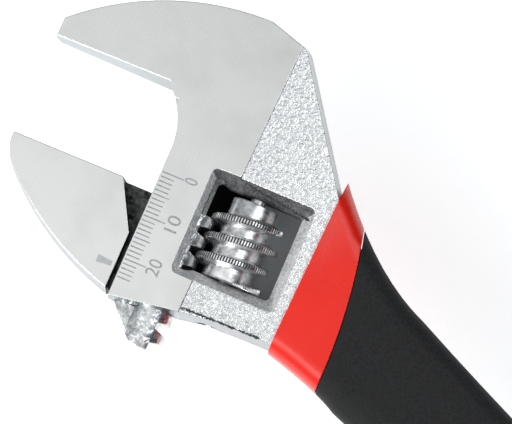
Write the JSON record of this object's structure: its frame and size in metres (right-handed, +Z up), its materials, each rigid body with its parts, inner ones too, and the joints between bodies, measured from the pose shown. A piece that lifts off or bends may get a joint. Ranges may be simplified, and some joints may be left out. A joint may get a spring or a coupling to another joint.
{
  "type": "adjustable wrench",
  "caption": "Adjustable wrench with a chromed forged head, a worm-driven sliding jaw and a straight handle in a two-material plastic and rubber grip.",
  "frame": {"origin": "under the middle of the wrench's bounding box, on the plane it lies on", "axes": "+X along the jaw faces from the tips towards the handle, +Y from the movable jaw towards the fixed jaw, +Z up through the thickness of the wrench lying flat"},
  "size_m": [0.1914, 0.1088, 0.0174],
  "materials": {
    "forging_chrome": "satin chrome on drop-forged steel: ground bright on the jaw faces and head, as forged elsewhere",
    "worm_chrome": "bright chrome on turned and knurled steel",
    "pin_steel": "turned steel",
    "spring_steel": "drawn spring wire",
    "core_plastic": "glossy moulded hard plastic",
    "cover_rubber": "matte moulded thermoplastic rubber"
  },
  "bodies": {
    "frame": {"body": "forging_chrome", "worm_pin": "pin_steel", "worm_spring": "spring_steel", "grip_core": "core_plastic", "grip_cover": "cover_rubber"},
    "worm": {"worm": "worm_chrome"},
    "movable_jaw": {"movable_jaw": "forging_chrome"}
  },
  "joints": [
    {"name": "worm_spin", "type": "hinge", "parent": "frame", "child": "worm", "pos_m": [-0.04126, 0.00751, 0.0087], "axis": [0, 1, 0], "range_deg": [-1830, 187]},
    {"name": "jaw_slide", "type": "slide", "parent": "frame", "child": "movable_jaw", "axis": [0, -1, 0], "range_m": [-0.0226, 0.0023]}
  ],
  "couplings": [
    {"joint": "worm_spin", "follows": "jaw_slide", "rad_per_m": 1412}
  ]
}
